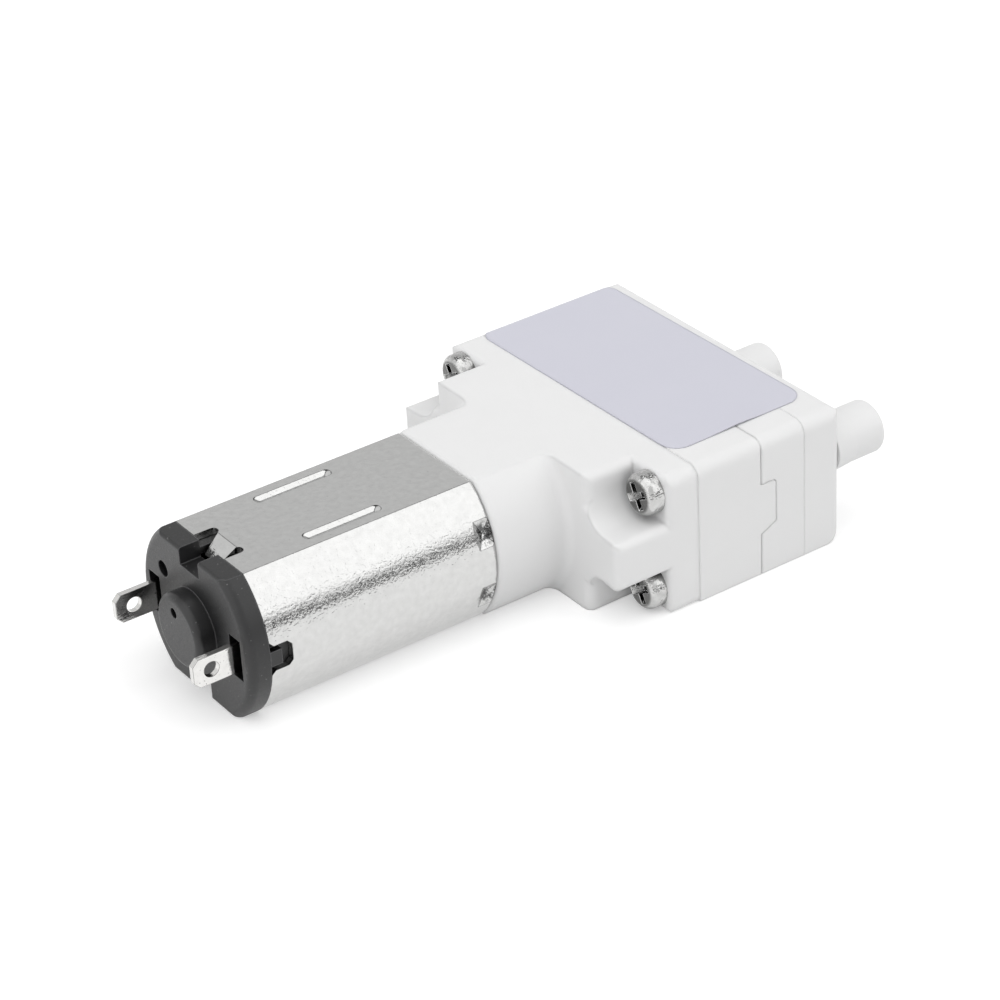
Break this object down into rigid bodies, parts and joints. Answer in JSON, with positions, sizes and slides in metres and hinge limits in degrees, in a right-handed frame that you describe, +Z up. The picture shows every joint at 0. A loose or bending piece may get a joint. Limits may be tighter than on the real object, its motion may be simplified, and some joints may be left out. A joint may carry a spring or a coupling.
{
  "type": "micro vacuum pump",
  "caption": "Micro diaphragm vacuum pump: flat-sided brush motor, wobble drive, twin diaphragm, disc valves and a white layered head with hose nozzles.",
  "frame": {"origin": "middle of the whole pump's footprint, on the plane that it lies on", "axes": "+X along the motor axis towards the nozzles, +Y to the left, +Z up through the label"},
  "size_m": [0.0594, 0.0286, 0.0122],
  "materials": {
    "nickel_plate": "bright nickel plate over drawn steel",
    "black_plastic": "moulded, fine satin",
    "tinned_brass": "tin plate",
    "spring_bronze": "rolled leaf",
    "ferrite": "matte",
    "sintered_bronze": "matte",
    "ground_steel": "ground",
    "core_steel": "lacquered laminations",
    "enamelled_copper": "gloss enamel",
    "phenolic": "moulded",
    "commutator_copper": "turned",
    "nylon": "moulded",
    "acetal": "moulded",
    "white_plastic": "moulded, satin",
    "screw_steel": "nickel plate",
    "black_rubber": "moulded",
    "valve_rubber": "silicone",
    "label_film": "satin film"
  },
  "bodies": {
    "pump_body": {"motor_can": "nickel_plate", "motor_end_cap": "black_plastic", "terminal_left": "tinned_brass", "terminal_right": "tinned_brass", "brush_left": "spring_bronze", "brush_right": "spring_bronze", "magnet_left": "ferrite", "magnet_right": "ferrite", "front_bearing": "sintered_bronze", "rear_bearing": "sintered_bronze", "motor_mount": "white_plastic", "motor_screws": "screw_steel", "diaphragm_block": "white_plastic", "twin_diaphragm": "black_rubber", "valve_plate": "white_plastic", "cover_gasket": "black_rubber", "port_cover": "white_plastic", "case_screws": "screw_steel", "label": "label_film"},
    "rotor": {"motor_shaft": "ground_steel", "armature_core": "core_steel", "armature_windings": "enamelled_copper", "commutator_core": "phenolic", "commutator_segments": "commutator_copper", "thrust_washers": "nylon", "eccentric_hub": "acetal", "drive_pin": "ground_steel"},
    "swing": {"swing_frame": "acetal"},
    "inlet_disc_left": {"inlet_valve_left": "valve_rubber"},
    "inlet_disc_right": {"inlet_valve_right": "valve_rubber"},
    "outlet_disc_left": {"outlet_valve_left": "valve_rubber"},
    "outlet_disc_right": {"outlet_valve_right": "valve_rubber"}
  },
  "joints": [
    {"name": "rotor_spin", "type": "hinge", "parent": "pump_body", "child": "rotor", "pos_m": [-0.01397, 0, 0.00605], "axis": [1, 0, 0], "continuous": true},
    {"name": "swing_turn", "type": "hinge", "parent": "rotor", "child": "swing", "pos_m": [0.01142, 0, 0.00605], "axis": [0.9925, 0, -0.1219], "continuous": true, "deforming": ["twin_diaphragm"]},
    {"name": "inlet_lift_left", "type": "slide", "parent": "pump_body", "child": "inlet_disc_left", "axis": [-1, 0, 0], "range_m": [0, 0.00035]},
    {"name": "inlet_lift_right", "type": "slide", "parent": "pump_body", "child": "inlet_disc_right", "axis": [-1, 0, 0], "range_m": [0, 0.00035]},
    {"name": "outlet_lift_left", "type": "slide", "parent": "pump_body", "child": "outlet_disc_left", "axis": [1, 0, 0], "range_m": [0, 0.00035]},
    {"name": "outlet_lift_right", "type": "slide", "parent": "pump_body", "child": "outlet_disc_right", "axis": [1, 0, 0], "range_m": [0, 0.00035]}
  ],
  "couplings": [
    {"joint": "swing_turn", "follows": "rotor_spin", "ratio": -1}
  ]
}
